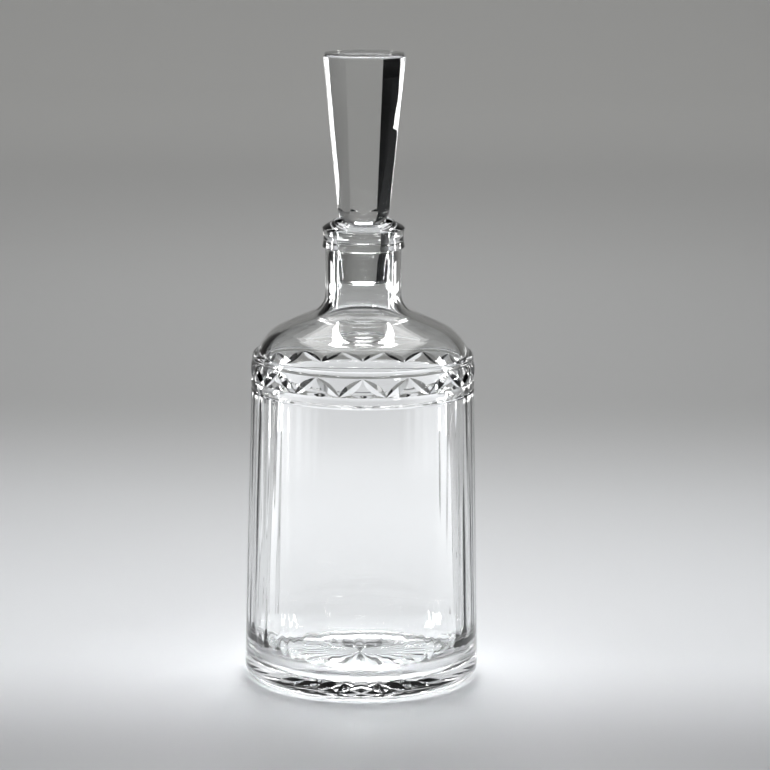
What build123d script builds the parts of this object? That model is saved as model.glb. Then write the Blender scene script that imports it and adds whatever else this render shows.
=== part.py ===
from build123d import *
import os
from math import atan2, cos, degrees, pi, radians, sin, sqrt, tan

# Crystal wine decanter: one blown and cut bottle, and one solid ground-in stopper.
# Millimetres. +Z up, the bottle's axis is Z, its foot ring stands on z = 0, and the front is -Y.

# ---- Bottle: foot and body ----
body_base_radius = 49.0
body_top_radius = 46.3
body_height = 121.8           # where the plain wall ends under the lower bead
wall = 3.7
floor_thickness = 5.5         # at the middle, where the star is cut
floor_sweep_width = 11.5      # the blown inside sweeps up from the flat floor into the wall
floor_sweep_height = 19.0
oval_pull = 0.5523            # length of a quarter oval's handles over its half width
heel_width = 3.8              # rounded heel between the wall and the ring that touches the table
foot_ring_width = 4.5
punt_depth = 1.2              # the underside inside the foot ring is hollowed by this much
punt_slope_width = 2.5

# ---- Bottle: cut band between two beads ----
bead_groove = 0.55            # depth of the fine line on each side of a bead
lower_bead_height = 4.2
lower_bead_bulge = 0.55
band_height = 8.0
band_bulge = 0.75
upper_bead_height = 2.6
upper_bead_bulge = 0.55
upper_bead_step = 1.0         # the top of the upper bead stands in by this much
ledge_width = 0.9             # flat step from the upper bead in to the shoulder

# ---- Bottle: leaf-shaped mitre cuts, two to each zigzag motif ----
motif_count = 15
leaf_bow = 0.45               # a leaf's middle lies this much below the line through its tips
leaf_half_angle = 57.0        # degrees between the groove's middle plane and either facet
leaf_tip_land = 0.25          # uncut glass left at each tip of a leaf

# ---- Bottle: star cut into the underside ----
star_ray_count = 24
star_margin = 4.0             # from the rays' tips to the edge of the flat underside
star_point_length = 7.0       # from a ray's tip back to where neighbouring rays part
star_deepest_inset = 9.0      # from a ray's tip back to its deepest place
star_depth = 1.7
star_ridge_depth = 0.05       # the ridges between rays are only just cut
star_centre_depth = 0.2

# ---- Ground joint between bottle and stopper ----
seat_top_radius = 12.0
seat_depth = 2.4              # the ground seat starts this far below the mouth
seat_length = 9.5
joint_half_angle = 4.9        # degrees, shared by the seat and the plug
joint_clearance = 0.05        # radial, between the ground faces

# ---- Bottle: shoulder, neck and collar ----
shoulder_height = 24.5        # from the ledge up to the plain neck
shoulder_wall = 3.4
shoulder_fillet = 9.0         # hollow curve at the neck's root
shoulder_slope = 22.0         # degrees below level where that curve ends
knee_inset = 9.1              # the shoulder turns down this far inside its foot
knee_height = 10.1            # and this far above it
neck_length = 19.0            # plain neck between shoulder and collar
neck_wall = 3.7
bore_relief = 0.8             # the bore is this much wider than the bottom of the seat
bore_relief_length = 4.0      # and opens out to that over this length
collar_wall = 5.0             # from the top of the seat out to the collar's side
collar_height = 9.2
collar_waist = 0.5            # the collar's side is hollowed by this much
collar_edge_radius = 0.9
mouth_rise = 2.1              # the mouth stands above the collar's outer edge
lip_width = 0.7               # rounded lip round the mouth

# ---- Stopper ----
plug_length = 23.0
plug_end_radius = 1.2
plug_shoulder_rise = 1.0      # the plug's top slopes up to the waist
waist_radius = 7.6
waist_depth = 0.6             # the waist lies this far below the mouth
foot_bowl_radius = 10.8
foot_bowl_height = 4.6
foot_bowl_flare = 14.0        # degrees from upright where the bowl ends
finial_height = 68.6          # top of the stopper above the mouth
finial_main_top = 33.6        # across the four main faces, top
finial_main_foot = 21.2       # across the four main faces, foot
finial_diagonal_top = 34.5    # across the four diagonal faces, top
finial_diagonal_foot = 22.6   # across the four diagonal faces, foot
finial_foot_rise = 4.6        # the foot sizes are measured this far above the mouth
finial_top_chamfer = 0.8

# ---- Heights and radii that follow ----
foot_radius = body_base_radius - heel_width
heel_height = heel_width * (1 + (body_base_radius - body_top_radius) / body_height)
punt_radius = foot_radius - foot_ring_width - punt_slope_width
star_radius = punt_radius - star_margin
bead_root_radius = body_top_radius - bead_groove
upper_bead_radius = bead_root_radius - upper_bead_step
shoulder_foot_radius = upper_bead_radius - ledge_width
band_base_z = body_height + lower_bead_height
band_top_z = band_base_z + band_height
ledge_z = band_top_z + upper_bead_height
joint_slope = tan(radians(joint_half_angle))
seat_bottom_radius = seat_top_radius - seat_length * joint_slope
bore_radius = seat_bottom_radius + bore_relief
neck_radius = bore_radius + neck_wall
collar_radius = seat_top_radius + collar_wall
neck_base_z = ledge_z + shoulder_height
collar_base_z = neck_base_z + neck_length
collar_top_z = collar_base_z + collar_height
mouth_z = collar_top_z + mouth_rise
seat_top_z = mouth_z - seat_depth
seat_bottom_z = seat_top_z - seat_length
relief_end_z = seat_bottom_z - bore_relief_length
waist_z = mouth_z - waist_depth
finial_foot_z = mouth_z + finial_foot_rise
finial_top_z = mouth_z + finial_height


def revolved(edges):
    """Solid of revolution about Z from a closed outline in (radius, height)."""
    return revolve(Plane.XZ * make_face(edges), Axis.Z)


def inset(edge, at, depth):
    """Point inside the glass, `depth` from an outer edge that is traced downward."""
    tangent = edge % at
    return edge @ at + Vector(tangent.Y, -tangent.X) * depth


def bead(start, end, bulge):
    """Rounded bead between two points, traced downward."""
    middle = (start + end) / 2 + Vector(bulge, 0)
    return ThreePointArc(start, middle, end)


def mouth_edges():
    """Bore's ground seat, rounded lip, mouth slope, collar and plain neck, traced down the outside."""
    relief_end = Vector(bore_radius, relief_end_z)
    seat_bottom = Vector(seat_bottom_radius, seat_bottom_z)
    seat_top = Vector(seat_top_radius, seat_top_z)
    lip_in = Vector(seat_top_radius, mouth_z - lip_width)
    lip_out = Vector(seat_top_radius + lip_width, mouth_z)
    collar_rim = Vector(collar_radius - collar_edge_radius, collar_top_z)
    side_top = Vector(collar_radius, collar_top_z - collar_edge_radius)
    side_base = Vector(collar_radius, collar_base_z + collar_edge_radius)
    waist = (side_top + side_base) / 2 - Vector(collar_waist, 0)
    under_collar = Vector(collar_radius - collar_edge_radius, collar_base_z)
    neck_top = Vector(neck_radius, collar_base_z)
    return [
        Line(relief_end, seat_bottom),
        Line(seat_bottom, seat_top),
        Line(seat_top, lip_in),
        TangentArc(lip_in, lip_out, tangent=(0, 1)),
        Line(lip_out, collar_rim),
        TangentArc(collar_rim, side_top, tangent=collar_rim - lip_out),
        ThreePointArc(side_top, waist, side_base),
        TangentArc(side_base, under_collar, tangent=(0, -1)),
        Line(under_collar, neck_top),
        Line(neck_top, Vector(neck_radius, neck_base_z)),
    ]


def shoulder_edges():
    """Outside of the shoulder from the neck down to the ledge: hollow root, slope and round knee."""
    turn = radians(90 - shoulder_slope)
    root_end = Vector(
        neck_radius + shoulder_fillet * (1 - cos(turn)),
        neck_base_z - shoulder_fillet * sin(turn),
    )
    knee = Vector(shoulder_foot_radius - knee_inset, ledge_z + knee_height)
    root = TangentArc(Vector(neck_radius, neck_base_z), root_end, tangent=(0, -1))
    slope = TangentArc(root_end, knee, tangent=root % 1)
    side = TangentArc(knee, Vector(shoulder_foot_radius, ledge_z), tangent=slope % 1)
    return [root, slope, side]


def band_edges():
    """Ledge, upper bead, cut band and lower bead, traced downward."""
    ledge_in = Vector(shoulder_foot_radius, ledge_z)
    ledge_out = Vector(upper_bead_radius, ledge_z)
    band_top = Vector(bead_root_radius, band_top_z)
    band_base = Vector(bead_root_radius, band_base_z)
    wall_top = Vector(bead_root_radius, body_height)
    return [
        Line(ledge_in, ledge_out),
        bead(ledge_out, band_top, upper_bead_bulge),
        bead(band_top, band_base, band_bulge),
        bead(band_base, wall_top, lower_bead_bulge),
    ]


def foot_edges():
    """Fine line under the lower bead, plain wall, rounded heel, foot ring and hollowed underside."""
    line_top = Vector(bead_root_radius, body_height)
    line_end = Vector(body_top_radius, body_height - bead_groove)
    wall_base = Vector(body_base_radius, heel_height)
    foot_outer = Vector(foot_radius, 0)
    foot_inner = Vector(foot_radius - foot_ring_width, 0)
    punt_edge = Vector(punt_radius, punt_depth)
    plain_wall = Line(line_end, wall_base)
    return [
        Line(line_top, line_end),
        plain_wall,
        TangentArc(wall_base, foot_outer, tangent=plain_wall % 1),
        Line(foot_outer, foot_inner),
        Line(foot_inner, punt_edge),
        Line(punt_edge, Vector(0, punt_depth)),
        Line(Vector(0, punt_depth), Vector(0, floor_thickness)),
    ]


def cavity_edges(shoulder):
    """Inside from the middle of the floor up the wall, under the shoulder and up to the bore."""
    root, slope, side = shoulder
    lean = (body_base_radius - body_top_radius) / (body_height - heel_height)
    wall_foot_z = floor_thickness + floor_sweep_height
    wall_foot = Vector(body_base_radius - wall - lean * (wall_foot_z - heel_height), wall_foot_z)
    wall_top = Vector(body_base_radius - wall - lean * (band_base_z - heel_height), band_base_z)
    floor_edge = Vector(wall_foot.X - floor_sweep_width, floor_thickness)
    floor_pull = floor_edge + Vector(floor_sweep_width * oval_pull, 0)
    wall_pull = wall_foot + Vector(lean, -1) * floor_sweep_height * oval_pull
    under_side = TangentArc(wall_top, inset(side, 1, shoulder_wall), tangent=wall_top - wall_foot)
    under_knee = TangentArc(under_side @ 1, inset(slope, 1, shoulder_wall), tangent=under_side % 1)
    under_slope = TangentArc(under_knee @ 1, inset(root, 1, shoulder_wall), tangent=under_knee % 1)
    bore_foot = Vector(bore_radius, neck_base_z)
    return [
        Line(Vector(0, floor_thickness), floor_edge),
        Bezier(floor_edge, floor_pull, wall_pull, wall_foot),
        Line(wall_foot, wall_top),
        under_side,
        under_knee,
        under_slope,
        TangentArc(bore_foot, under_slope @ 1, tangent=(0, -1)),
        Line(bore_foot, Vector(bore_radius, relief_end_z)),
    ]


def bottle_blank():
    """The bottle before cutting: one closed outline of the glass, turned about the axis."""
    shoulder = shoulder_edges()
    return revolved(mouth_edges() + shoulder + band_edges() + foot_edges() + cavity_edges(shoulder))


def leaf_cutter():
    """Rim of a V-edged cutting wheel set on the front of the band: one leaf of the zigzag."""
    band_radius = bead_root_radius + band_bulge
    run = pi * band_radius / motif_count
    slant = atan2(band_height, run)
    half_length = sqrt(run ** 2 + band_height ** 2) / 2 - leaf_tip_land
    girth_fall = (half_length * cos(slant)) ** 2 / (2 * band_radius)
    bulge_fall = band_bulge * (half_length * sin(slant) / (band_height / 2)) ** 2
    depth = girth_fall + bulge_fall + leaf_bow
    wheel_radius = (half_length ** 2 + leaf_bow ** 2) / (2 * leaf_bow)
    facet_slope = tan(radians(leaf_half_angle))
    hub = wheel_radius * facet_slope
    wheel = revolved([Polyline((0, hub), (wheel_radius, 0), (0, -hub), (0, hub))])
    rim_box = Box(4 * depth, 2 * (half_length + leaf_tip_land), 4 * depth * facet_slope)
    rim = wheel & Pos(wheel_radius, 0, 0) * rim_box
    place = Pos(0, depth - band_radius - wheel_radius, (band_base_z + band_top_z) / 2)
    return place * Rot(0, degrees(slant), 0) * Rot(0, 0, 90) * rim


def leaf_cutters():
    """Two mirrored leaves for each motif, meeting in a peak at the top of the band."""
    pitch = 360 / motif_count
    falling = Rot(0, 0, pitch / 4) * leaf_cutter()
    rising = mirror(falling, Plane.YZ)
    return [Rot(0, 0, pitch * i) * leaf for i in range(motif_count) for leaf in (falling, rising)]


def star_cutter():
    """Ring of shallow V-cut rays in the underside, each ending in a point."""
    half_pitch = pi / star_ray_count

    def spot(radius, steps, height):
        return Vector(radius * sin(steps * half_pitch), -radius * cos(steps * half_pitch), height)

    def face(*corners):
        return Face(Wire.make_polygon(corners, close=True))

    centre = Vector(0, 0, punt_depth + star_centre_depth)
    faces = []
    outline = []
    for ray in range(star_ray_count):
        left = spot(star_radius - star_point_length, 2 * ray - 1, punt_depth + star_ridge_depth)
        right = spot(star_radius - star_point_length, 2 * ray + 1, punt_depth + star_ridge_depth)
        deepest = spot(star_radius - star_deepest_inset, 2 * ray, punt_depth + star_depth)
        tip = spot(star_radius, 2 * ray, punt_depth)
        left_low, tip_low, right_low = (Vector(p.X, p.Y, 0) for p in (left, tip, right))
        faces += [face(centre, left, deepest), face(centre, deepest, right)]
        faces += [face(left, tip, deepest), face(deepest, tip, right)]
        faces += [face(left, tip, tip_low, left_low), face(tip, right, right_low, tip_low)]
        outline += [left_low, tip_low]
    return Solid(Shell(faces + [face(*outline)]))


def make_bottle():
    """Whole bottle: turned blank with the band and the underside cut."""
    return bottle_blank() - leaf_cutters() - star_cutter()


def octagon(height, across_main, across_diagonal):
    """Octagonal section whose main faces look along X and Y and whose diagonals have their own size."""
    half = across_main / 2
    side = across_diagonal / sqrt(2) - half
    square = Rectangle(across_main, across_main)
    return Pos(0, 0, height) * chamfer(square.vertices(), half - side)


def tapered_head():
    """Octagonal head from the waist's level to the top, wider upward, chamfered round its top."""
    taper_height = finial_top_z - finial_foot_z
    drop = (finial_foot_z - waist_z) / taper_height
    main_waist = finial_main_foot - drop * (finial_main_top - finial_main_foot)
    diagonal_waist = finial_diagonal_foot - drop * (finial_diagonal_top - finial_diagonal_foot)
    head = loft([
        octagon(waist_z, main_waist, diagonal_waist),
        octagon(finial_top_z, finial_main_top, finial_diagonal_top),
    ])
    return chamfer(head.faces().sort_by(Axis.Z)[-1].edges(), finial_top_chamfer)


def finial():
    """The head, with its facets running out on a round bowl-shaped foot."""
    bowl_start = Vector(waist_radius, waist_z)
    bowl_end = Vector(foot_bowl_radius, waist_z + foot_bowl_height)
    flare = radians(foot_bowl_flare)
    top_centre = Vector(0, finial_top_z + finial_top_chamfer)
    top_outer = Vector(finial_main_top + finial_diagonal_top, top_centre.Y)
    blank = revolved([
        TangentArc(bowl_end, bowl_start, tangent=(-sin(flare), -cos(flare))),
        Line(bowl_start, Vector(0, waist_z)),
        Line(Vector(0, waist_z), top_centre),
        Line(top_centre, top_outer),
        Line(top_outer, bowl_end),
    ])
    return tapered_head() & blank


def plug():
    """Ground plug that hangs in the neck, with a sloping top that meets the finial's waist."""
    top = Vector(seat_top_radius - joint_clearance, seat_top_z)
    bottom = Vector(top.X - plug_length * joint_slope, seat_top_z - plug_length)
    side = Line(top, bottom + Vector(plug_end_radius * joint_slope, plug_end_radius))
    floor_end = Vector(bottom.X - plug_end_radius, bottom.Y)
    shoulder = Vector(waist_radius, seat_top_z + plug_shoulder_rise)
    return revolved([
        side,
        TangentArc(side @ 1, floor_end, tangent=side % 1),
        Line(floor_end, Vector(0, bottom.Y)),
        Line(Vector(0, bottom.Y), Vector(0, waist_z)),
        Line(Vector(0, waist_z), Vector(waist_radius, waist_z)),
        Line(Vector(waist_radius, waist_z), shoulder),
        Line(shoulder, top),
    ])


def make_stopper():
    """Solid stopper: finial and plug in one piece of glass."""
    return plug() + finial()


os.makedirs("parts", exist_ok=True)
export_step(make_bottle(), "parts/bottle.step")
export_step(make_stopper(), "parts/stopper.step")
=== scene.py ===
from math import atan2, cos, hypot, pi, radians, sin, sqrt, tan

import bmesh
import bpy
from mathutils import Matrix, Vector


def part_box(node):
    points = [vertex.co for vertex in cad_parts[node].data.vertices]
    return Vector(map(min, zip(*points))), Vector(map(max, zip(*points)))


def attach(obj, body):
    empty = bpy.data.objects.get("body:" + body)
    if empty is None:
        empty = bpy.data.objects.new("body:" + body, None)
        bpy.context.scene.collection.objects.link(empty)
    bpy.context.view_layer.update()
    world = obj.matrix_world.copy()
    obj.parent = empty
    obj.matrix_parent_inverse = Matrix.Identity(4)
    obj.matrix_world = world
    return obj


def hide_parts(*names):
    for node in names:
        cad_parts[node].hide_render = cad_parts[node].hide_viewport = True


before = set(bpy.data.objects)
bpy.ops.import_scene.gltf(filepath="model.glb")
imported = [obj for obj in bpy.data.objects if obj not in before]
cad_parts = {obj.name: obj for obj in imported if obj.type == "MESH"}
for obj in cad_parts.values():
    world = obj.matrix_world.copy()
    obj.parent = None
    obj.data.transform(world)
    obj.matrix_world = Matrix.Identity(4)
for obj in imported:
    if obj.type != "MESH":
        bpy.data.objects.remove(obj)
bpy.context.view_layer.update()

MM = 0.001
bottle_low, bottle_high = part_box("bottle")
stopper_low, stopper_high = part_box("stopper")

# ---------------------------------------------------------------- sizes of the bottle, millimetres
mouth_z = bottle_high.z / MM
body_base_radius = 49.0
body_top_radius = 46.3
body_height = 121.8
wall = 3.7
floor_thickness = 5.5
floor_sweep_width = 11.5
floor_sweep_height = 19.0
oval_pull = 0.5523
heel_width = 3.8
foot_ring_width = 4.5
punt_depth = 1.2
punt_slope_width = 2.5
bead_groove = 0.55
lower_bead_height = 4.2
lower_bead_bulge = 0.55
band_height = 8.0
band_bulge = 0.75
upper_bead_height = 2.6
upper_bead_bulge = 0.55
upper_bead_step = 1.0
ledge_width = 0.9
shoulder_height = 24.5
shoulder_wall = 3.4
shoulder_fillet = 9.0
shoulder_slope = 22.0
knee_inset = 9.1
knee_height = 10.1
neck_length = 19.0
neck_wall = 3.7
collar_wall = 5.0
collar_height = 9.2
collar_waist = 0.5
collar_edge_radius = 0.9
lip_width = 0.7
seat_top_radius = 12.0
seat_depth = 2.4
seat_length = 9.5
joint_slope = tan(radians(4.9))
joint_clearance = 0.05
bore_relief = 0.8
bore_relief_length = 4.0

# the cuts: leaf-shaped mitre cuts round the band, and a star under the foot
motif_count = 15
leaf_bow = 0.45
leaf_half_angle = radians(57.0)
leaf_tip_land = 0.25
star_ray_count = 24
star_margin = 4.0
star_point_length = 7.0
star_deepest_inset = 9.0
star_depth = 1.7
star_ridge_depth = 0.05
star_centre_depth = 0.2

# the stopper
stopper_top_z = stopper_high.z / MM
plug_bottom_z = stopper_low.z / MM
plug_end_radius = 1.2
plug_shoulder_rise = 1.0
waist_radius = 7.6
waist_depth = 0.6
foot_bowl_radius = 10.8
foot_bowl_height = 4.6
foot_bowl_flare = radians(14.0)
finial_main_top = 33.6
finial_main_foot = 21.2
finial_diagonal_top = 34.5
finial_diagonal_foot = 22.6
finial_foot_rise = 4.6
finial_top_chamfer = 0.8
arris = 0.18
head_step = 0.1
tool_margin = 1.0

# heights and radii that follow
foot_radius = body_base_radius - heel_width
heel_height = heel_width * (1 + (body_base_radius - body_top_radius) / body_height)
punt_radius = foot_radius - foot_ring_width - punt_slope_width
star_radius = punt_radius - star_margin
bead_root_radius = body_top_radius - bead_groove
upper_bead_radius = bead_root_radius - upper_bead_step
shoulder_foot_radius = upper_bead_radius - ledge_width
band_base_z = body_height + lower_bead_height
band_top_z = band_base_z + band_height
ledge_z = band_top_z + upper_bead_height
seat_bottom_radius = seat_top_radius - seat_length * joint_slope
bore_radius = seat_bottom_radius + bore_relief
neck_radius = bore_radius + neck_wall
collar_radius = seat_top_radius + collar_wall
neck_base_z = ledge_z + shoulder_height
collar_base_z = neck_base_z + neck_length
collar_top_z = collar_base_z + collar_height
seat_top_z = mouth_z - seat_depth
seat_bottom_z = seat_top_z - seat_length
relief_end_z = seat_bottom_z - bore_relief_length
waist_z = mouth_z - waist_depth
finial_foot_z = mouth_z + finial_foot_rise

# fineness of the round work
turn_steps = 240
leaf_steps = 24
arc_step = radians(5.0)
crease_angle = radians(16.0)
weld_distance = 1e-6


# ---------------------------------------------------------------- outlines in (radius, height)
def point(radius, height):
    return Vector((radius, height))


def fan(centre, start, sweep, steps):
    """Points on an arc about `centre`, after `start`, turned by `sweep` radians in all."""
    spoke = start - centre
    return [centre + Matrix.Rotation(sweep * i / steps, 2) @ spoke for i in range(1, steps + 1)]


class Outline:
    """A profile drawn stroke by stroke; it remembers its points and the direction it last went."""

    def __init__(self, start):
        self.points = [start]
        self.heading = None

    @property
    def end(self):
        return self.points[-1]

    def line(self, *stops):
        for stop in stops:
            self.heading = (stop - self.end).normalized()
            self.points.append(stop)
        return self

    def arc(self, stop, heading=None):
        """Arc that leaves along `heading`, or along the last stroke, and ends at `stop`."""
        heading = (heading or self.heading).normalized()
        chord = stop - self.end
        side = Vector((-heading.y, heading.x))
        reach = chord.dot(side)
        centre = self.end + side * (chord.length_squared / (2 * reach))
        sweep = 2 * atan2(reach, chord.dot(heading))
        steps = max(2, round(abs(sweep) / arc_step))
        self.points += fan(centre, self.end, sweep, steps)
        self.heading = Matrix.Rotation(sweep, 2) @ heading
        return self

    def sweep(self, pull, other_pull, stop):
        """Smooth curve to `stop`, with its two handles."""
        start = self.end
        steps = round(pi / 2 / arc_step)
        for step in range(1, steps + 1):
            share = step / steps
            rest = 1 - share
            near = start * rest ** 3 + pull * 3 * rest ** 2 * share
            self.points.append(near + other_pull * 3 * rest * share ** 2 + stop * share ** 3)
        self.heading = (stop - other_pull).normalized()
        return self

    def bead(self, stop, bulge):
        """Arc to `stop` that stands out by `bulge` at its middle, on the left of the stroke."""
        chord = stop - self.end
        half_turn = 2 * atan2(bulge, chord.length / 2)
        return self.arc(stop, Matrix.Rotation(half_turn, 2) @ chord)


def bottle_outline():
    """Half section of the glass: from the axis up the inside, over the mouth and down to the axis."""
    down, out, up = Vector((0, -1)), Vector((1, 0)), Vector((0, 1))
    edge = collar_edge_radius
    glass = Outline(point(bore_radius, relief_end_z))
    glass.line(point(seat_bottom_radius, seat_bottom_z), point(seat_top_radius, seat_top_z))
    glass.line(point(seat_top_radius, mouth_z - lip_width))
    glass.arc(point(seat_top_radius + lip_width, mouth_z), up)
    glass.line(point(collar_radius - edge, collar_top_z))
    glass.arc(point(collar_radius, collar_top_z - edge))
    glass.bead(point(collar_radius, collar_base_z + edge), -collar_waist)
    glass.arc(point(collar_radius - edge, collar_base_z), down)
    glass.line(point(neck_radius, collar_base_z), point(neck_radius, neck_base_z))

    turn = radians(90 - shoulder_slope)
    root_reach = shoulder_fillet * (1 - cos(turn))
    glass.arc(point(neck_radius + root_reach, neck_base_z - shoulder_fillet * sin(turn)))
    root_end, root_heading = glass.end, glass.heading
    glass.arc(point(shoulder_foot_radius - knee_inset, ledge_z + knee_height))
    knee, knee_heading = glass.end, glass.heading
    glass.arc(point(shoulder_foot_radius, ledge_z))
    side_end, side_heading = glass.end, glass.heading

    glass.line(point(upper_bead_radius, ledge_z))
    glass.bead(point(bead_root_radius, band_top_z), upper_bead_bulge)
    glass.bead(point(bead_root_radius, band_base_z), band_bulge)
    glass.bead(point(bead_root_radius, body_height), lower_bead_bulge)
    glass.line(point(body_top_radius, body_height - bead_groove))
    glass.line(point(body_base_radius, heel_height))
    glass.arc(point(foot_radius, 0))
    glass.line(point(foot_radius - foot_ring_width, 0), point(punt_radius, punt_depth))
    glass.line(point(0, punt_depth))

    lean = (body_base_radius - body_top_radius) / (body_height - heel_height)
    inner_foot_z = floor_thickness + floor_sweep_height
    inner_foot = point(body_base_radius - wall - lean * (inner_foot_z - heel_height), inner_foot_z)
    inner_top = point(body_base_radius - wall - lean * (band_base_z - heel_height), band_base_z)
    hollow = Outline(point(0, floor_thickness))
    floor_edge = point(inner_foot.x - floor_sweep_width, floor_thickness)
    floor_pull = floor_edge + Vector((floor_sweep_width * oval_pull, 0))
    wall_pull = inner_foot + Vector((lean, -1)) * floor_sweep_height * oval_pull
    hollow.line(floor_edge)
    hollow.sweep(floor_pull, wall_pull, inner_foot)
    hollow.line(inner_top)
    for outer, heading in ((side_end, side_heading), (knee, knee_heading), (root_end, root_heading)):
        hollow.arc(outer + Vector((heading.y, -heading.x)) * shoulder_wall)
    root_foot = hollow.end
    bore = Outline(point(bore_radius, neck_base_z)).arc(root_foot, down)
    hollow.points += bore.points[-2::-1]
    return hollow.points + glass.points


def stopper_outline():
    """Half section of the blank that the stopper is cut from, from its bottom up."""
    top = point(seat_top_radius - joint_clearance, seat_top_z)
    plug_length = seat_top_z - plug_bottom_z
    bottom = point(top.x - plug_length * joint_slope, plug_bottom_z)
    side_end = bottom + Vector((joint_slope, 1)) * plug_end_radius
    blank = Outline(point(0, plug_bottom_z))
    blank.line(point(bottom.x - plug_end_radius, plug_bottom_z))
    blank.arc(side_end)
    blank.line(top, point(waist_radius, seat_top_z + plug_shoulder_rise), point(waist_radius, waist_z))
    bowl_end = point(foot_bowl_radius, waist_z + foot_bowl_height)
    bowl = Outline(bowl_end).arc(blank.end, Vector((-sin(foot_bowl_flare), -cos(foot_bowl_flare))))
    blank.points += bowl.points[-2::-1]
    brim_z = stopper_top_z + finial_top_chamfer
    blank.line(point(finial_main_top + finial_diagonal_top, brim_z), point(0, brim_z))
    return blank.points


# ---------------------------------------------------------------- mesh work
def spin(bm, geom, angle, steps, **kind):
    """Spins part of a bmesh about Z."""
    bmesh.ops.spin(bm, geom=geom, cent=(0, 0, 0), axis=(0, 0, 1), angle=angle, steps=steps, **kind)


def turned(bm, outline):
    """Turns an outline that starts and ends on the axis into a closed skin."""
    verts = [bm.verts.new((p.x * MM, 0, p.y * MM)) for p in outline]
    edges = [bm.edges.new(pair) for pair in zip(verts, verts[1:])]
    spin(bm, verts + edges, 2 * pi, turn_steps, use_merge=True)
    bmesh.ops.remove_doubles(bm, verts=bm.verts, dist=weld_distance)
    bmesh.ops.recalc_face_normals(bm, faces=bm.faces)


def finished(bm, name):
    """Mesh object at the origin from a bmesh."""
    mesh = bpy.data.meshes.new(name)
    bm.to_mesh(mesh)
    bm.free()
    piece = bpy.data.objects.new(name, mesh)
    bpy.context.scene.collection.objects.link(piece)
    return piece


def carve(piece, tool, operation):
    """Exact boolean of a piece with a tool that is then thrown away."""
    cut = piece.modifiers.new("cut", "BOOLEAN")
    cut.operation = operation
    cut.solver = "EXACT"
    cut.object = tool
    bpy.context.view_layer.update()
    depsgraph = bpy.context.evaluated_depsgraph_get()
    result = bpy.data.meshes.new_from_object(piece.evaluated_get(depsgraph))
    piece.modifiers.clear()
    spare = piece.data
    piece.data = result
    result.name = piece.name
    bpy.data.meshes.remove(spare)
    bpy.data.objects.remove(tool)


def shade(piece):
    """Smooth shading that breaks at real edges."""
    for polygon in piece.data.polygons:
        polygon.use_smooth = True
    piece.data.set_sharp_from_angle(angle=crease_angle)


def leaf_tool():
    """The V rim of a cutting wheel, set in the band for every leaf of the zigzag."""
    band_radius = bead_root_radius + band_bulge
    run = pi * band_radius / motif_count
    slant = atan2(band_height, run)
    half_length = hypot(run, band_height) / 2 - leaf_tip_land
    girth_fall = (half_length * cos(slant)) ** 2 / (2 * band_radius)
    bulge_fall = band_bulge * (half_length * sin(slant) / (band_height / 2)) ** 2
    depth = girth_fall + bulge_fall + leaf_bow
    wheel_radius = (half_length ** 2 + leaf_bow ** 2) / (2 * leaf_bow)
    sweep = 2 * atan2(half_length + leaf_tip_land, wheel_radius)
    inner = wheel_radius - 2 * depth
    half_width = 2 * depth * tan(leaf_half_angle)
    rim = [(wheel_radius, 0), (inner, half_width), (inner, -half_width)]

    bm = bmesh.new()
    section = bm.faces.new([bm.verts.new((0, y * MM, z * MM)) for y, z in rim])
    bmesh.ops.rotate(bm, verts=bm.verts, matrix=Matrix.Rotation(-sweep / 2, 3, "Z"))
    spin(bm, [section], sweep, leaf_steps)
    band_middle_z = (band_base_z + band_top_z) / 2
    wheel_centre = Vector((0, depth - band_radius - wheel_radius, band_middle_z)) * MM
    place = Matrix.Translation(wheel_centre) @ Matrix.Rotation(slant, 4, "Y")
    bmesh.ops.transform(bm, verts=bm.verts, matrix=place)
    pitch = 2 * pi / motif_count
    bmesh.ops.rotate(bm, verts=bm.verts, matrix=Matrix.Rotation(pitch / 4, 3, "Z"))
    bmesh.ops.mirror(bm, geom=bm.verts[:] + bm.edges[:] + bm.faces[:], axis="X", merge_dist=0)
    spin(bm, bm.faces[:], 2 * pi - pitch, motif_count - 1, use_duplicate=True)
    bmesh.ops.recalc_face_normals(bm, faces=bm.faces)
    return finished(bm, "leaf_tool")


def star_tool():
    """Low pointed roof of rays, closed below, that cuts the star into the underside."""
    bm = bmesh.new()
    pitch = 2 * pi / star_ray_count

    def spot(radius, steps, height):
        angle = steps * pitch / 2
        return bm.verts.new((radius * sin(angle) * MM, -radius * cos(angle) * MM, height * MM))

    centre = spot(0, 0, punt_depth + star_centre_depth)
    left = spot(star_radius - star_point_length, -1, punt_depth + star_ridge_depth)
    right = spot(star_radius - star_point_length, 1, punt_depth + star_ridge_depth)
    deepest = spot(star_radius - star_deepest_inset, 0, punt_depth + star_depth)
    tip = spot(star_radius, 0, punt_depth)
    long_facets = (centre, left, deepest), (centre, deepest, right)
    point_facets = (left, tip, deepest), (deepest, tip, right)
    for corners in long_facets + point_facets:
        bm.faces.new(corners)
    spin(bm, bm.faces[:], 2 * pi - pitch, star_ray_count - 1, use_duplicate=True)
    bmesh.ops.remove_doubles(bm, verts=bm.verts, dist=weld_distance)
    rim = [edge for edge in bm.edges if edge.is_boundary]
    skirt = bmesh.ops.extrude_edge_only(bm, edges=rim)["geom"]
    low = [item for item in skirt if isinstance(item, bmesh.types.BMVert)]
    for vert in low:
        vert.co.z = 0
    bmesh.ops.edgeloop_fill(bm, edges=[edge for edge in bm.edges if edge.is_boundary])
    bmesh.ops.recalc_face_normals(bm, faces=bm.faces)
    return finished(bm, "star_tool")


def make_bottle():
    """Turned glass with the band and the underside cut."""
    bm = bmesh.new()
    turned(bm, bottle_outline())
    bottle = finished(bm, "decanter_bottle")
    carve(bottle, leaf_tool(), "DIFFERENCE")
    carve(bottle, star_tool(), "DIFFERENCE")
    shade(bottle)
    return bottle


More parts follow.
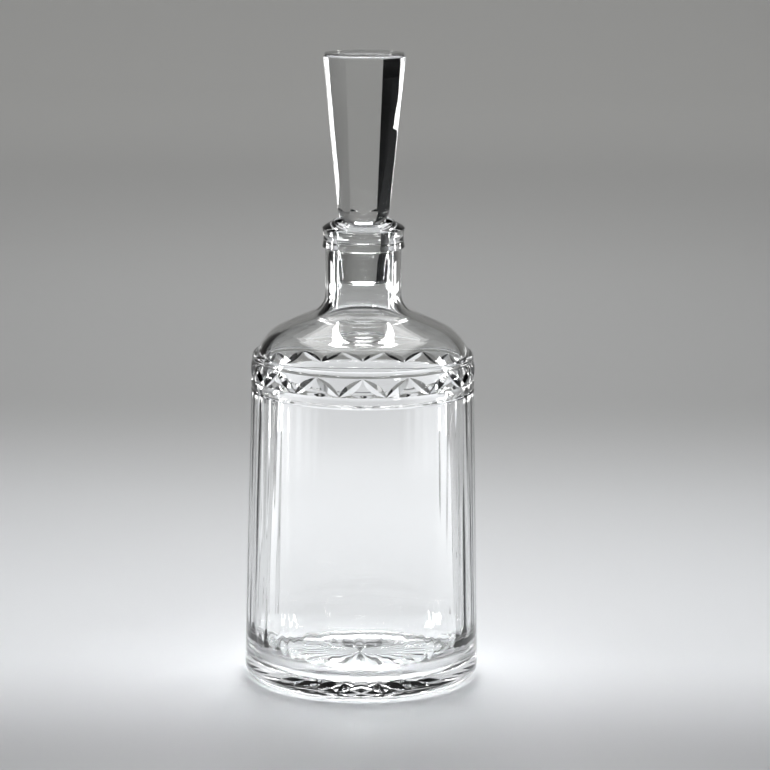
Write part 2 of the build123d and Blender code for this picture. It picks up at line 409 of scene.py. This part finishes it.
def octagon_loop(bm, height, across_main, across_diagonal):
    """Ring of eight corners whose main sides look along X and Y."""
    half = across_main / 2
    side = across_diagonal / sqrt(2) - half
    corners = [(side, half), (half, side), (half, -side), (side, -half)]
    corners += [(-x, -y) for x, y in corners]
    return [bm.verts.new((x * MM, y * MM, height * MM)) for x, y in corners]


def head_tool():
    """Octagonal taper of the head, with softened edges, on a wide shank that spares the plug."""
    taper_height = stopper_top_z - finial_foot_z
    drop = (finial_foot_z - waist_z) / taper_height
    main_waist = finial_main_foot - drop * (finial_main_top - finial_main_foot)
    diagonal_waist = finial_diagonal_foot - drop * (finial_diagonal_top - finial_diagonal_foot)
    shank = 4 * seat_top_radius
    bm = bmesh.new()
    loops = [
        octagon_loop(bm, plug_bottom_z - tool_margin, shank, shank),
        octagon_loop(bm, waist_z - head_step, shank, shank),
        octagon_loop(bm, waist_z, main_waist, diagonal_waist),
        octagon_loop(bm, stopper_top_z, finial_main_top, finial_diagonal_top),
    ]
    for low, high in zip(loops, loops[1:]):
        for i in range(8):
            bm.faces.new((low[i], low[i - 1], high[i - 1], high[i]))
    bm.faces.new(loops[0])
    bm.faces.new(loops[-1][::-1])
    bmesh.ops.recalc_face_normals(bm, faces=bm.faces)
    top_ring = set(loops[-1])
    top_edges = [edge for edge in bm.edges if set(edge.verts) <= top_ring]
    bevel_kind = dict(affect="EDGES", profile=0.5, material=-1, clamp_overlap=True)
    bmesh.ops.bevel(bm, geom=top_edges, offset=finial_top_chamfer * MM, segments=1, **bevel_kind)
    low_limit = (waist_z - head_step / 2) * MM
    head = [edge for edge in bm.edges if min(vert.co.z for vert in edge.verts) > low_limit]
    sharp = [edge for edge in head if edge.calc_face_angle() > crease_angle]
    bmesh.ops.bevel(bm, geom=sharp, offset=arris * MM, segments=2, **bevel_kind)
    return finished(bm, "head_tool")


def make_stopper():
    """Blank turned in one with its plug, cut to the octagonal head."""
    bm = bmesh.new()
    turned(bm, stopper_outline())
    stopper = finished(bm, "decanter_stopper")
    carve(stopper, head_tool(), "INTERSECT")
    shade(stopper)
    return stopper


# ---------------------------------------------------------------- materials
def feed(tree, slot, item):
    """Links a wire to a slot, or sets the slot to a plain value."""
    value = item.value if isinstance(item, Wire) else item
    if isinstance(value, bpy.types.NodeSocket):
        tree.links.new(value, slot)
    else:
        slot.default_value = value


class Wire:
    """A shader socket, or a number, that adds Math nodes when it is used in an expression."""

    def __init__(self, tree, value):
        self.tree = tree
        self.value = value

    def math(self, operation, *others):
        node = self.tree.nodes.new("ShaderNodeMath")
        node.operation = operation
        for slot, item in zip(node.inputs, (self, *others)):
            feed(self.tree, slot, item)
        return Wire(self.tree, node.outputs[0])

    def __add__(self, other):
        return self.math("ADD", other)

    def __mul__(self, other):
        return self.math("MULTIPLY", other)

    def __sub__(self, other):
        return self.math("SUBTRACT", other)

    def __rsub__(self, other):
        return Wire(self.tree, other).math("SUBTRACT", self)

    __radd__ = __add__
    __rmul__ = __mul__


class Finish:
    """The node tree of a material or of the world, with one way to add any node."""

    def __init__(self, holder, coordinates="Object"):
        holder.use_nodes = True
        self.holder = holder
        self.tree = holder.node_tree
        self.tree.nodes.clear()
        self.place = self.wire(self.node("ShaderNodeTexCoord"), coordinates)

    def node(self, kind, settings=None, inputs=None):
        made = self.tree.nodes.new(kind)
        for key, value in (settings or {}).items():
            setattr(made, key, value)
        for key, item in (inputs or {}).items():
            feed(self.tree, made.inputs[key], item)
        return made

    def wire(self, node, output=0):
        return Wire(self.tree, node.outputs[output])

    def axis(self, letter):
        return self.wire(self.node("ShaderNodeSeparateXYZ", inputs={0: self.place}), letter)

    def noise(self, scale, detail=2.0, stretch=(1, 1, 1)):
        where = self.node("ShaderNodeMapping", inputs={"Vector": self.place, "Scale": stretch})
        inputs = {"Vector": self.wire(where), "Scale": scale, "Detail": detail}
        return self.wire(self.node("ShaderNodeTexNoise", inputs=inputs))

    def ramp(self, value, low, high):
        """0 below `low`, 1 above `high`, smooth between."""
        inputs = {"Value": value, "From Min": low, "From Max": high}
        return self.wire(self.node("ShaderNodeMapRange", {"interpolation_type": "SMOOTHSTEP"}, inputs))

    def mix(self, share, first, second):
        made = self.node("ShaderNodeMix", {"data_type": "RGBA"}, {0: share, 6: first, 7: second})
        return self.wire(made, 2)

    def surface(self, shader):
        self.node("ShaderNodeOutputMaterial", inputs={"Surface": self.wire(shader)})
        return self.holder


# where the glass changes its finish, metres
joint_fade = 0.0004
scuff_top = 0.0008
scuff_full = 0.0001
wave_height = 0.0008
wave_radius = 0.0452
wave_radius_end = 0.0462
wave_foot = 0.008
wave_foot_full = 0.02
wave_top_full = 0.118
wave_top = 0.128


def blown_wave(finish, reach, up):
    """Long upright waves left in a blown wall, on its inside only."""
    inner = finish.ramp(reach, wave_radius_end, wave_radius)
    inner = inner * finish.ramp(up, wave_foot, wave_foot_full) * finish.ramp(up, wave_top, wave_top_full)
    swell = finish.noise(scale=150.0, detail=1.0, stretch=(1, 1, 0.035))
    bump = finish.node("ShaderNodeBump", inputs={"Distance": wave_height, "Height": swell * inner})
    return finish.wire(bump)


def crystal(name, joint_low, blown):
    """Clear crystal: polished, satin on the ground joint above `joint_low`, scuffed where it stands."""
    finish = Finish(bpy.data.materials.new(name))
    across, along, up = (finish.axis(letter) for letter in "XYZ")
    reach = (across * across + along * along).math("SQRT")
    low, high, radius = joint_low * MM, seat_top_z * MM, seat_top_radius * MM
    joint = finish.ramp(up, low - joint_fade, low + joint_fade)
    joint = joint * finish.ramp(up, high + joint_fade, high - joint_fade)
    joint = joint * finish.ramp(reach, radius + joint_fade, radius)
    grinding = finish.noise(scale=1400.0, detail=2.0) * 0.03 + 0.012
    handling = finish.ramp(finish.noise(scale=60.0, detail=4.0), 0.42, 0.75)
    scuffs = finish.ramp(finish.noise(scale=900.0, detail=3.0, stretch=(1, 1, 0.2)), 0.35, 0.65)
    scuffs = scuffs * finish.ramp(up, scuff_top, scuff_full)
    inputs = {
        "Base Color": (0.985, 0.99, 0.988, 1),
        "Roughness": joint * grinding + handling * 0.006 + scuffs * 0.25,
        "IOR": 1.54,
        "Transmission Weight": 1.0,
    }
    if blown:
        inputs["Normal"] = blown_wave(finish, reach, up)
    return finish.surface(finish.node("ShaderNodeBsdfPrincipled", inputs=inputs))


def paper_with_painted_shade():
    """Pale sheet under and behind the object, graded darker in front of it and far behind it: painted
    shade, for the light falling off behind the object and for shadow in front of it.
    """
    finish = Finish(bpy.data.materials.new("paper_with_painted_shade"))
    run = finish.axis("Y")
    near = (0.86, 0.88, 0.905, 1)
    behind = (0.32, 0.322, 0.322, 1)
    far = (0.68, 0.68, 0.665, 1)
    front = (0.42, 0.43, 0.445, 1)
    # behind: painted falloff of the light on the paper behind the object; far: lighter again towards the
    # back wall
    colour = finish.mix(finish.ramp(run, 0.03, 0.58), near, behind)
    colour = finish.mix(finish.ramp(run, 0.7, 2.4), colour, far)
    # front: painted shade, darker paper in front of the object where its shadow falls
    colour = finish.mix(finish.ramp(run, 0.02, -0.13), colour, front)
    inputs = {"Base Color": colour, "Roughness": 0.5, "Specular IOR Level": 0.25}
    paper = finish.node("ShaderNodeBsdfPrincipled", inputs=inputs)
    return finish.surface(paper)


# ---------------------------------------------------------------- the two pieces
bottle = make_bottle()
bottle.data.materials.append(crystal("bottle_crystal", seat_bottom_z, blown=True))
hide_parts("bottle")
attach(bottle, "bottle")

stopper = make_stopper()
stopper.data.materials.append(crystal("stopper_crystal", plug_bottom_z, blown=False))
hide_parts("stopper")
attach(stopper, "stopper")


# ---------------------------------------------------------------- stage, lights and camera
def make_paper():
    """Floor that sweeps up into a back wall far behind."""
    half_width = 3.0
    front = -4.6
    back = 2.2
    sweep = 0.8
    top = 2.5
    outline = Outline(Vector((front, 0))).line(Vector((back, 0))).arc(Vector((back + sweep, sweep)))
    outline.line(Vector((back + sweep, top)))
    bm = bmesh.new()
    verts = [bm.verts.new((-half_width, p.x, p.y)) for p in outline.points]
    edges = [bm.edges.new(pair) for pair in zip(verts, verts[1:])]
    grown = bmesh.ops.extrude_edge_only(bm, edges=edges)["geom"]
    other_side = [item for item in grown if isinstance(item, bmesh.types.BMVert)]
    bmesh.ops.translate(bm, verts=other_side, vec=(2 * half_width, 0, 0))
    for face in bm.faces:
        face.normal_update()
        face.smooth = True
        if face.normal.z < face.normal.y:
            face.normal_flip()
    paper = finished(bm, "paper_sweep")
    paper.data.materials.append(paper_with_painted_shade())
    return paper


def lamp(name, place, aim, width, height, power):
    """Rectangular soft light at `place`, facing `aim`."""
    light = bpy.data.lights.new(name, "AREA")
    light.shape = "RECTANGLE"
    light.size = width
    light.size_y = height
    light.energy = power
    holder = bpy.data.objects.new(name, light)
    bpy.context.scene.collection.objects.link(holder)
    holder.location = place
    holder.rotation_euler = (Vector(aim) - Vector(place)).to_track_quat("-Z", "Y").to_euler()
    return holder


def board(name, x_range, y, z_range, material):
    """Upright board that only the glass sees."""
    left, right = x_range
    low, high = z_range
    corners = ((left, low), (right, low), (right, high), (left, high))
    bm = bmesh.new()
    bm.faces.new([bm.verts.new((x, y, z)) for x, z in corners])
    piece = finished(bm, name)
    piece.data.materials.append(material)
    piece.visible_camera = False
    piece.visible_diffuse = False
    piece.visible_glossy = False
    piece.visible_shadow = False
    return piece


# black for the flag: painted shade, standing in for a dark part of the room
def black_board():
    finish = Finish(bpy.data.materials.new("black_board"))
    inputs = {"Base Color": (0.003, 0.003, 0.003, 1), "Specular IOR Level": 0.0, "Roughness": 1.0}
    return finish.surface(finish.node("ShaderNodeBsdfPrincipled", inputs=inputs))


glow_half_width = 0.049
glow_soft_edge = 0.005
glow_foot_level = 0.56
glow_rise = 0.24
glow_top_dip = 0.16
glow_side_gain = 0.2


def glow_board():
    """Thin glowing sheet behind the body, weaker at its foot and its top middle."""
    finish = Finish(bpy.data.materials.new("glow_board"))
    side = finish.axis("X").math("ABSOLUTE")
    up = finish.axis("Z")
    level = finish.ramp(up, 0.0, 0.06) * glow_rise + glow_foot_level
    level = level - finish.ramp(up, 0.07, 0.1) * glow_top_dip
    level = level + finish.ramp(side, 0.015, 0.036) * finish.ramp(up, 0.06, 0.095) * glow_side_gain
    level = level * finish.ramp(side, glow_half_width, glow_half_width - glow_soft_edge)
    glow = finish.node("ShaderNodeEmission", inputs={"Color": (0.985, 0.995, 1.02, 1), "Strength": level})
    sheet = finish.node("ShaderNodeBsdfTransparent", inputs={"Color": (0.35, 0.35, 0.35, 1)})
    both = finish.node("ShaderNodeAddShader", inputs={0: finish.wire(glow), 1: finish.wire(sheet)})
    return finish.surface(both)


def studio_room():
    """Grey behind the object, dark in front of it and to its sides."""
    finish = Finish(bpy.data.worlds.new("studio_room"), "Generated")
    back = finish.ramp(finish.axis("Y"), 0.35, 0.85)
    colour = finish.mix(back, (0.022, 0.022, 0.022, 1), (0.25, 0.25, 0.25, 1))
    air = finish.node("ShaderNodeBackground", inputs={"Color": colour})
    finish.node("ShaderNodeOutputWorld", inputs={"Surface": finish.wire(air)})
    return finish.holder


make_paper()
# black_flag: painted shade, a black sheet that shows only through the glass where the room is dark; it
# casts no shadow
board("black_flag", (-0.85, -0.22), y=0.68, z_range=(0.001, 0.60), material=black_board())
glow_range = (-glow_half_width, glow_half_width)
board("glow_card", glow_range, y=0.062, z_range=(0.001, 0.128), material=glow_board())

# name, place, point it faces, width, height (metres) and power (watts)
open_lamps = (
    ("overhead", (0, 0.9, 2.2), (0, 0.7, 0), 2.4, 2.2, 36),
    ("rear_key", (0, 0.95, 0.80), (0, 0, 0.03), 0.50, 0.30, 4.8),
    ("front_window", (0.55, -0.75, 0.55), (0, 0, 0.18), 0.12, 0.2, 0.8),
)
for row in open_lamps:
    lamp(*row)

# lamps that reach the paper only through the glass
glass_lamps = (
    ("high_spark", (0, 0.50, 0.95), (0, 0, 0), 0.42, 0.32, 16),
    ("left_strip", (-0.7, 0.12, 0.25), (0, 0.02, 0.15), 0.06, 0.5, 2.2),
    ("right_strip", (0.7, 0.12, 0.25), (0, 0.02, 0.15), 0.06, 0.5, 2.2),
)
for row in glass_lamps:
    lamp(*row).visible_diffuse = False

# lit cards that only show in and through the glass
cards = (
    ("left_low_card", (-0.43, 0.66, 0.066), (0, 0, 0.066), 0.5, 0.045, 0.17),
    ("left_tall_card", (-0.60, 0.60, 0.10), (0, 0, 0.15), 0.22, 0.22, 0.26),
    ("right_tall_card", (0.60, 0.60, 0.10), (0, 0, 0.15), 0.22, 0.22, 0.26),
    ("right_low_card", (0.43, 0.66, 0.066), (0, 0, 0.066), 0.5, 0.045, 0.17),
)
for row in cards:
    card = lamp(*row)
    card.visible_diffuse = False
    card.visible_glossy = False

bpy.context.scene.world = studio_room()

camera_place = (0, -1.296, 0.386)
camera_down = radians(11.5)
camera_roll = radians(-0.39)
camera_pan = radians(-0.33)
camera = bpy.data.cameras.new("camera")
camera.sensor_width = 36
camera.lens = 148.8156
camera.clip_end = 50
viewer = bpy.data.objects.new("camera", camera)
bpy.context.scene.collection.objects.link(viewer)
viewer.location = camera_place
viewer.rotation_euler = (pi / 2 - camera_down, camera_roll, camera_pan)
bpy.context.scene.camera = viewer
bpy.context.scene.view_settings.view_transform = "Standard"

# bright enough indirect light, and little blur, for the light that the glass throws on the paper
bpy.context.scene.cycles.sample_clamp_indirect = 30
bpy.context.scene.cycles.blur_glossy = 0.05
